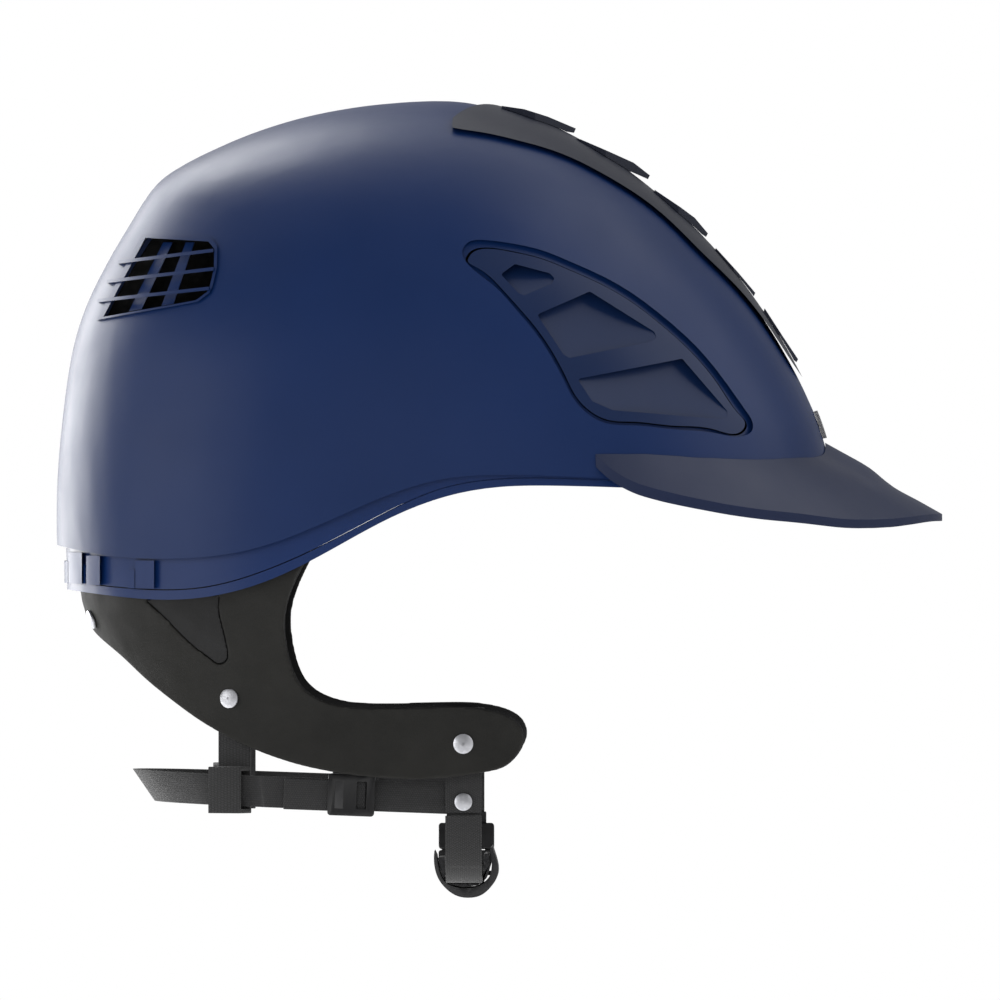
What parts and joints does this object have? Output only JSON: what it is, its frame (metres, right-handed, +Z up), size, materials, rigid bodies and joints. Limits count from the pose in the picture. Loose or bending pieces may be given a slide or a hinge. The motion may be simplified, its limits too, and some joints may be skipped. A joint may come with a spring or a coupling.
{
  "type": "equestrian riding helmet",
  "caption": "Peaked riding helmet with vented shell, side inserts, foam liner and a leather harness with nape strap, chin cup and side-release buckle.",
  "frame": {"origin": "centre of the wearer's head at brow height, on the helmet's centre plane", "axes": "+X towards the face and the peak, +Y to the wearer's left, +Z up"},
  "size_m": [0.3232, 0.208, 0.2905],
  "materials": {
    "shell_paint": "satin",
    "strip_paint": "satin",
    "insert_plastic": "satin",
    "peak_plastic": "satin",
    "grille_plastic": "satin",
    "foam": "matte",
    "padding": "matte",
    "leather": "satin",
    "lining": "matte",
    "trim_plastic": "satin",
    "webbing": "matte",
    "rivet_steel": "satin",
    "badge_mesh": "satin",
    "buckle_plastic": "satin",
    "cup_rubber": "matte"
  },
  "bodies": {
    "helmet": {"outer_shell": "shell_paint", "inner_hull": "trim_plastic", "eps_liner": "foam", "rim_trim": "trim_plastic", "rim_posts": "trim_plastic", "side_insert_right": "insert_plastic", "side_insert_left": "insert_plastic", "rear_grille_right": "grille_plastic", "rear_grille_left": "grille_plastic", "rear_ribs_right": "trim_plastic", "rear_ribs_left": "trim_plastic", "crown_strip": "strip_paint", "crown_scoops": "strip_paint", "front_badge": "badge_mesh", "peak": "peak_plastic", "headband_pad": "padding", "crown_pads": "padding", "harness_panel": "leather", "harness_lining": "lining", "gusset_right": "lining", "gusset_left": "lining", "upper_rivets": "rivet_steel", "loop_rivets": "rivet_steel", "nape_rivets": "rivet_steel"},
    "side_straps": {"side_strap_right": "webbing", "side_strap_left": "webbing", "lower_rivets": "rivet_steel", "buckle_female": "buckle_plastic"},
    "nape_strap": {"nape_strap": "webbing", "nape_tails": "webbing"},
    "slider_left": {"slider_left": "buckle_plastic"},
    "slider_right": {"slider_right": "buckle_plastic"},
    "loop_left": {"loop_strap_left": "webbing"},
    "loop_right": {"loop_strap_right": "webbing"},
    "chin_strap": {"chin_strap": "webbing", "buckle_male": "buckle_plastic"},
    "prong_rear": {"buckle_prong_rear": "buckle_plastic"},
    "prong_front": {"buckle_prong_front": "buckle_plastic"},
    "chin_cup": {"chin_cup": "cup_rubber"}
  },
  "joints": [
    {"name": "side_straps_swing", "type": "hinge", "parent": "helmet", "child": "side_straps", "pos_m": [0.0088, 0, -0.0894], "axis": [0, -1, 0], "range_deg": [-6, 3]},
    {"name": "nape_strap_level", "type": "hinge", "parent": "side_straps", "child": "nape_strap", "pos_m": [0.0088, 0, -0.1106], "axis": [0, -1, 0], "range_deg": [-3.1, 6.1]},
    {"name": "slider_left_slide", "type": "slide", "parent": "nape_strap", "child": "slider_left", "axis": [0.9993, 0, -0.0366], "range_m": [-0.014, 0.01]},
    {"name": "slider_right_slide", "type": "slide", "parent": "nape_strap", "child": "slider_right", "axis": [0.9993, 0, -0.0366], "range_m": [-0.014, 0.01]},
    {"name": "loop_left_swing", "type": "hinge", "parent": "helmet", "child": "loop_left", "pos_m": [-0.0759, 0.06001, -0.073], "axis": [0.454, -0.891, 0], "range_deg": [-4.5, 4.5]},
    {"name": "loop_right_swing", "type": "hinge", "parent": "helmet", "child": "loop_right", "pos_m": [-0.0759, -0.06001, -0.073], "axis": [-0.454, -0.891, 0], "range_deg": [-4.5, 4.5]},
    {"name": "chin_strap_open", "type": "hinge", "parent": "side_straps", "child": "chin_strap", "pos_m": [0.0088, -0.0614, -0.1151], "axis": [-1, 0, 0], "range_deg": [0, 45]},
    {"name": "buckle_prong_rear_press", "type": "slide", "parent": "chin_strap", "child": "prong_rear", "axis": [1, 0, 0], "range_m": [0, 0.0015], "stiffness_N_per_m": 200},
    {"name": "buckle_prong_front_press", "type": "slide", "parent": "chin_strap", "child": "prong_front", "axis": [-1, 0, 0], "range_m": [0, 0.0015], "stiffness_N_per_m": 200},
    {"name": "chin_cup_slide", "type": "slide", "parent": "chin_strap", "child": "chin_cup", "axis": [0, 1, 0], "range_m": [-0.008, 0.008]}
  ],
  "couplings": [
    {"joint": "nape_strap_level", "follows": "side_straps_swing", "ratio": -1}
  ]
}
